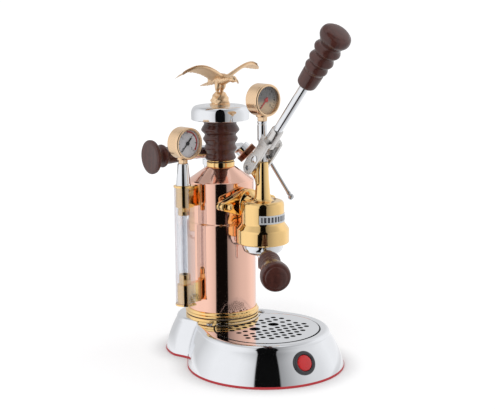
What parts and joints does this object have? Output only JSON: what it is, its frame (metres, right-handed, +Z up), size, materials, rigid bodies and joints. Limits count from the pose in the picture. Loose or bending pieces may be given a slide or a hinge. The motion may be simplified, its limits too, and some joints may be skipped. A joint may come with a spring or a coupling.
{
  "type": "lever espresso machine",
  "caption": "Manual lever espresso machine: copper boiler on a chromed base, brass group with forked lever, gauges, sight glass, steam wand and eagle-topped cap.",
  "frame": {"origin": "on the floor under the axis of the boiler, in the plane of the bottom plate", "axes": "+Z up along the boiler, -Y toward the front (group, drip tray, switch), +X to the right seen from the front"},
  "size_m": [0.2108, 0.3158, 0.4368],
  "materials": {
    "chrome": "polished",
    "steel": "satin",
    "copper": "polished copper",
    "brass": "polished",
    "rose_gold": "polished",
    "trim_red": "satin",
    "black_rubber": "matt",
    "black_plastic": "satin",
    "red_plastic": "gloss",
    "wood": "satin varnish",
    "glass": "clear",
    "clear_shield": "clear acrylic",
    "pale_dial": "printed",
    "dark_dial": "printed",
    "black_needle": "satin",
    "red_needle": "satin",
    "strip_field": "printed"
  },
  "bodies": {
    "machine": {"base_shell": "chrome", "base_trim_strip": "trim_red", "base_bottom_plate": "steel", "deck_screws": "steel", "cord_gland": "black_rubber", "switch_housing": "black_plastic", "boiler_lower_flange": "brass", "boiler_gasket": "black_rubber", "boiler_base_ring": "brass", "boiler_ring_nut": "steel", "boiler_shell": "copper", "heating_element": "steel", "filler_ring": "brass", "steam_valve_body": "chrome", "steam_joint_nut": "copper", "sight_blocks": "brass", "sight_nuts": "brass", "sight_glass_tube": "glass", "sight_shield": "clear_shield", "boiler_gauge_stem": "chrome", "boiler_gauge_case": "rose_gold", "boiler_gauge_dial": "pale_dial", "boiler_gauge_glass": "glass", "boiler_plate": "brass", "flange_gasket": "black_rubber", "flange_studs": "brass", "group_body": "brass", "cylinder_sleeve": "steel", "group_seal": "black_rubber", "shower_screen": "steel", "temperature_strip": "strip_field", "fulcrum_pin": "steel"},
    "button": {"switch_button": "red_plastic"},
    "tray": {"drip_tray": "steel"},
    "grille": {"drip_grille": "chrome"},
    "cap_carrier": {"cap_seal": "black_rubber"},
    "cap": {"cap_plug": "brass", "cap_grip": "wood", "cap_disc": "chrome", "eagle_finial": "brass"},
    "steam_control": {"steam_spindle": "steel", "steam_knob": "wood"},
    "wand": {"steam_wand": "chrome"},
    "boiler_pointer": {"boiler_gauge_needle": "black_needle"},
    "piston": {"piston": "brass", "piston_seals": "black_rubber", "piston_rod": "steel", "rod_pin": "steel", "piston_gauge_stem": "chrome", "piston_gauge_case": "brass", "piston_gauge_dial": "dark_dial", "piston_gauge_glass": "glass"},
    "piston_pointer": {"piston_gauge_needle": "red_needle"},
    "lever": {"lever_fork": "chrome", "lever_rod": "chrome", "lever_handle": "wood"},
    "basket": {"filter_basket": "steel"},
    "portafilter": {"portafilter_body": "chrome", "portafilter_spout": "chrome", "portafilter_handle": "wood"}
  },
  "joints": [
    {"name": "switch_press", "type": "slide", "parent": "machine", "child": "button", "axis": [0.1577, 0.8856, -0.4369], "range_m": [0, 0.003], "stiffness_N_per_m": 600},
    {"name": "tray_lift", "type": "slide", "parent": "machine", "child": "tray", "axis": [0, 0, 1], "range_m": [0, 0.03]},
    {"name": "grille_lift", "type": "slide", "parent": "tray", "child": "grille", "axis": [0, 0, 1], "range_m": [0, 0.012]},
    {"name": "cap_lift", "type": "slide", "parent": "machine", "child": "cap_carrier", "axis": [0, 0, 1], "range_m": [0, 0.00901]},
    {"name": "cap_turn", "type": "hinge", "parent": "cap_carrier", "child": "cap", "pos_m": [0, 0, 0.28], "axis": [0, 0, 1], "range_deg": [0, 1080]},
    {"name": "steam_turn", "type": "hinge", "parent": "machine", "child": "steam_control", "pos_m": [0, 0.032, 0.2635], "axis": [-0.9976, 0.0698, 0], "range_deg": [0, 540]},
    {"name": "wand_swing", "type": "hinge", "parent": "machine", "child": "wand", "pos_m": [0.0635, 0.0232, 0.2565], "axis": [0, 0, 1], "range_deg": [-30, 30]},
    {"name": "boiler_needle_turn", "type": "hinge", "parent": "machine", "child": "boiler_pointer", "pos_m": [-0.066, -0.0214, 0.2847], "axis": [0, 1, 0], "range_deg": [0, 270], "stiffness_Nm_per_rad": 0.002},
    {"name": "lever_swing", "type": "hinge", "parent": "machine", "child": "lever", "pos_m": [0, -0.0683, 0.2542], "axis": [1, 0, 0], "range_deg": [0, 68]},
    {"name": "piston_stroke", "type": "slide", "parent": "machine", "child": "piston", "axis": [0, 0, -1], "range_m": [0, 0.02097]},
    {"name": "piston_needle_turn", "type": "hinge", "parent": "piston", "child": "piston_pointer", "pos_m": [0, -0.096, 0.34], "axis": [0, 1, 0], "range_deg": [0, 270], "stiffness_Nm_per_rad": 0.002},
    {"name": "basket_drop", "type": "slide", "parent": "machine", "child": "basket", "axis": [0, 0, -1], "range_m": [0, 0.03]},
    {"name": "portafilter_turn", "type": "hinge", "parent": "basket", "child": "portafilter", "pos_m": [0, -0.0835, 0.16], "axis": [0, 0, 1], "range_deg": [0, 40]}
  ],
  "couplings": [
    {"joint": "cap_lift", "follows": "cap_turn", "m_per_rad": 0.00047746},
    {"joint": "piston_stroke", "follows": "lever_swing", "m_per_rad": 0.017657}
  ]
}
